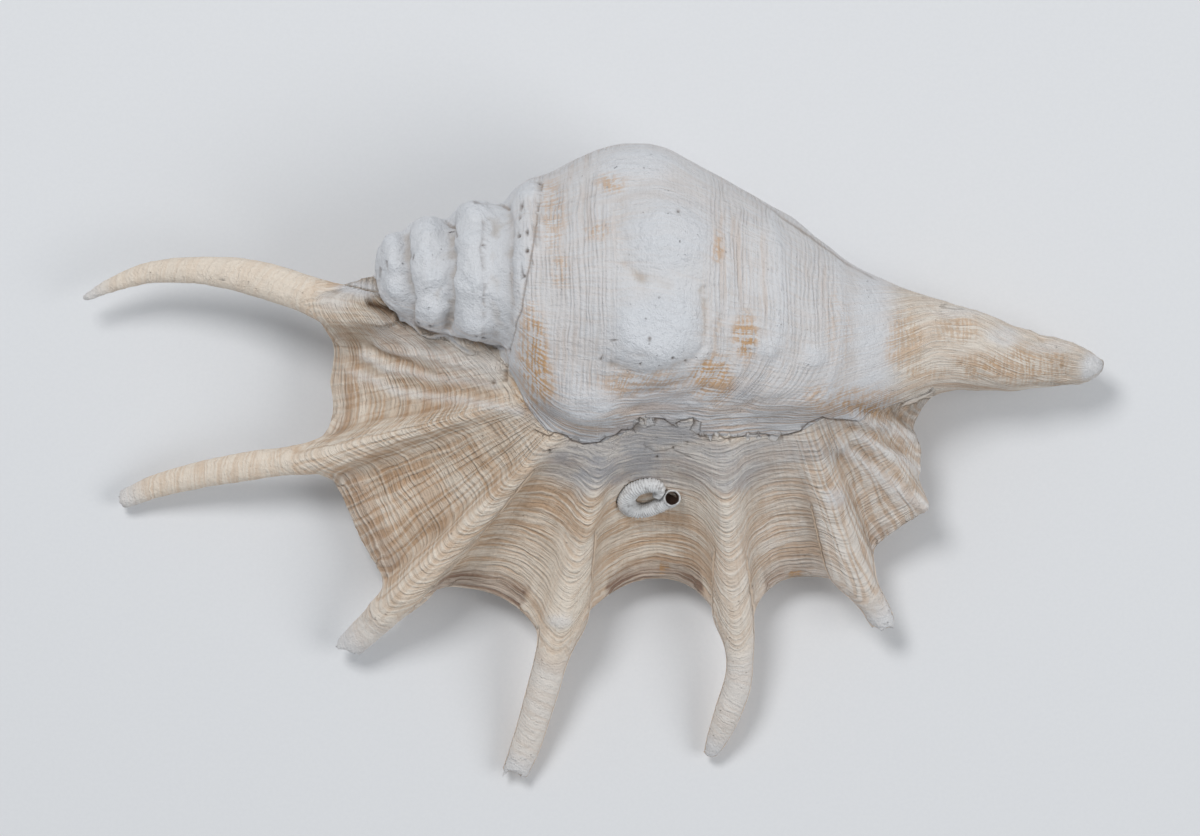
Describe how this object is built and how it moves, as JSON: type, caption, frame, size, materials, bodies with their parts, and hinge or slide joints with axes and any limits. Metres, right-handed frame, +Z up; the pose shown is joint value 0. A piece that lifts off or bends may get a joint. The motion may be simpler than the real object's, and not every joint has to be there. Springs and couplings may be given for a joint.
{
  "type": "spider conch shell",
  "caption": "Old spider conch shell with a blunt spire, a knobbed body, a siphonal canal and a flared lip that runs out into long curved fingers, lying mouth down.",
  "frame": {"origin": "under the middle of the shell, on the surface that it lies on", "axes": "+X from the spire to the end of the siphonal canal, the flared lip and its fingers to -Y, +Z up from the surface that the shell lies on, mouth down"},
  "size_m": [0.3006, 0.1852, 0.0861],
  "materials": {
    "old_shell": "chalky worn shell, off-white with cream and tan stains, silkier inside the mouth",
    "worm_chalk": "dull grey-white lime, finely ribbed"
  },
  "bodies": {
    "root": {"shell": "old_shell", "worm_tube": "worm_chalk"}
  },
  "joints": []
}
